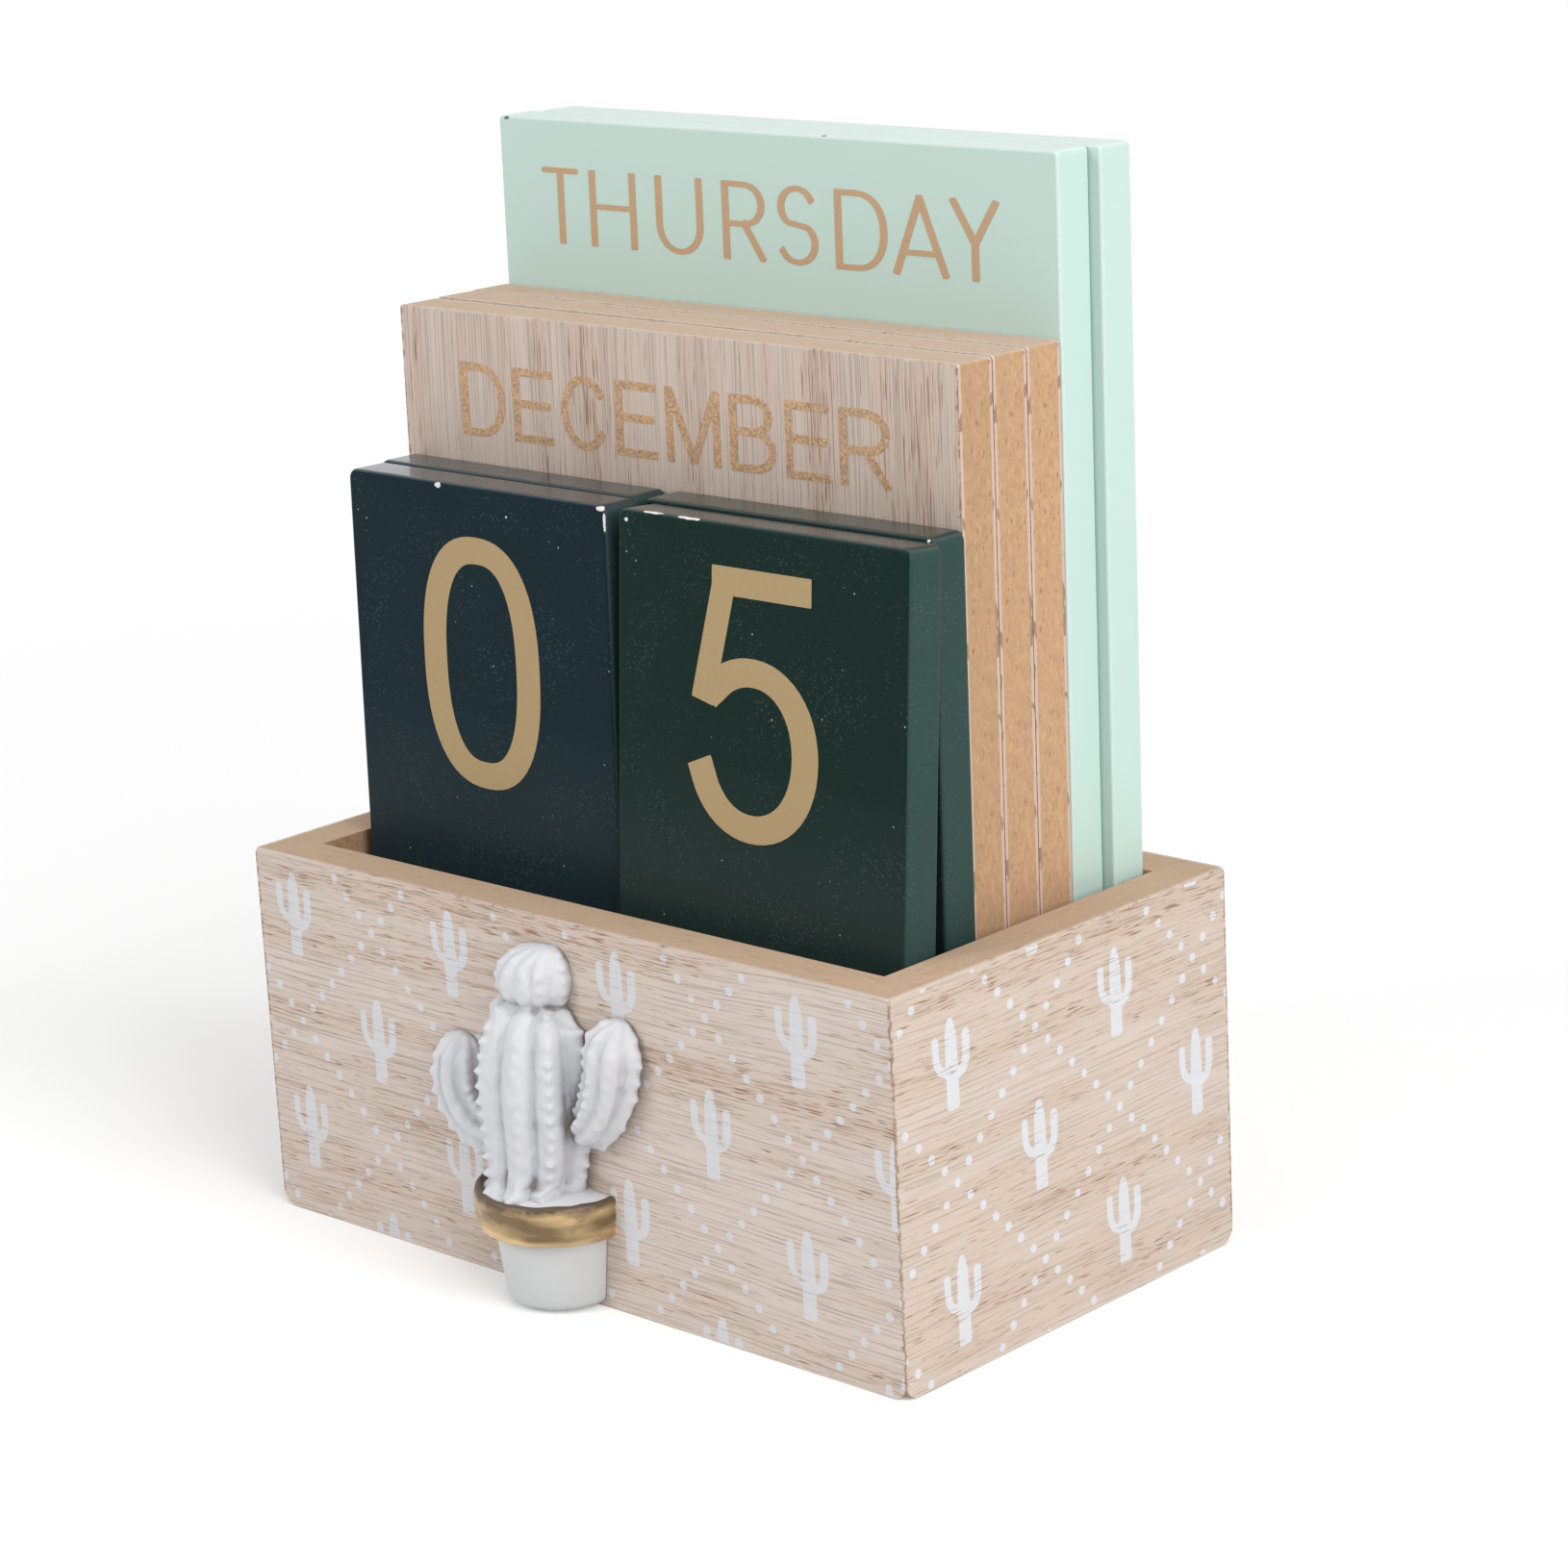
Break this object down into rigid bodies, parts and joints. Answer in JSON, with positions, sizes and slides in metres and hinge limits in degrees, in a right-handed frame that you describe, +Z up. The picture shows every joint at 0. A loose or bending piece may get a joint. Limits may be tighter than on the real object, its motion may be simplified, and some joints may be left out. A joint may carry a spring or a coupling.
{
  "type": "perpetual desk calendar",
  "caption": "Open wooden tray in which loose date tiles, month boards and weekday boards stand on edge, with a cast cactus ornament glued on its front.",
  "frame": {"origin": "middle of the tray's underside, on the surface it stands on", "axes": "+X to the right as seen from the front, +Y to the back, +Z up"},
  "size_m": [0.115, 0.076, 0.1451],
  "materials": {
    "bare_mdf": "bare sanded fibreboard",
    "printed_veneer": "pale open-pored veneer with a white print",
    "month_veneer": "pinkish grey open-pored veneer",
    "teal_paint": "satin dark teal paint on fibreboard",
    "green_paint": "satin dark green paint on fibreboard",
    "mint_paint": "satin mint paint on fibreboard",
    "painted_resin": "matt white and brushed gold paint on cast resin"
  },
  "bodies": {
    "tray": {"front_panel": "bare_mdf", "back_panel": "bare_mdf", "left_panel": "bare_mdf", "right_panel": "bare_mdf", "bottom_panel": "bare_mdf", "front_veneer": "printed_veneer", "back_veneer": "printed_veneer", "left_veneer": "printed_veneer", "right_veneer": "printed_veneer", "cactus_ornament": "painted_resin"},
    "date_tile_front_left": {"date_tile_front_left": "teal_paint"},
    "date_tile_front_right": {"date_tile_front_right": "green_paint"},
    "date_tile_rear_left": {"date_tile_rear_left": "teal_paint"},
    "date_tile_rear_right": {"date_tile_rear_right": "green_paint"},
    "month_board_1": {"month_board_1_core": "bare_mdf", "month_board_1_front_veneer": "month_veneer", "month_board_1_back_veneer": "month_veneer"},
    "month_board_2": {"month_board_2_core": "bare_mdf", "month_board_2_front_veneer": "month_veneer", "month_board_2_back_veneer": "month_veneer"},
    "month_board_3": {"month_board_3_core": "bare_mdf", "month_board_3_front_veneer": "month_veneer", "month_board_3_back_veneer": "month_veneer"},
    "weekday_board_1": {"weekday_board_1": "mint_paint"},
    "weekday_board_2": {"weekday_board_2": "mint_paint"}
  },
  "joints": [
    {"name": "date_tile_front_left_lift", "type": "slide", "parent": "tray", "child": "date_tile_front_left", "axis": [0.0001, 0.0162, 0.9999], "range_m": [0, 0.145]},
    {"name": "date_tile_front_right_lift", "type": "slide", "parent": "tray", "child": "date_tile_front_right", "axis": [-0.0001, 0.0162, 0.9999], "range_m": [0, 0.145]},
    {"name": "date_tile_rear_left_lift", "type": "slide", "parent": "tray", "child": "date_tile_rear_left", "axis": [0.0001, 0.0162, 0.9999], "range_m": [0, 0.145]},
    {"name": "date_tile_rear_right_lift", "type": "slide", "parent": "tray", "child": "date_tile_rear_right", "axis": [-0.0001, 0.0162, 0.9999], "range_m": [0, 0.145]},
    {"name": "month_board_1_lift", "type": "slide", "parent": "tray", "child": "month_board_1", "axis": [-0.0001, 0.0162, 0.9999], "range_m": [0, 0.145]},
    {"name": "month_board_2_lift", "type": "slide", "parent": "tray", "child": "month_board_2", "axis": [0, 0.0162, 0.9999], "range_m": [0, 0.145]},
    {"name": "month_board_3_lift", "type": "slide", "parent": "tray", "child": "month_board_3", "axis": [0, 0.0162, 0.9999], "range_m": [0, 0.145]},
    {"name": "weekday_board_1_lift", "type": "slide", "parent": "tray", "child": "weekday_board_1", "axis": [0, 0.0162, 0.9999], "range_m": [0, 0.145]},
    {"name": "weekday_board_2_lift", "type": "slide", "parent": "tray", "child": "weekday_board_2", "axis": [0, 0.0162, 0.9999], "range_m": [0, 0.145]}
  ]
}
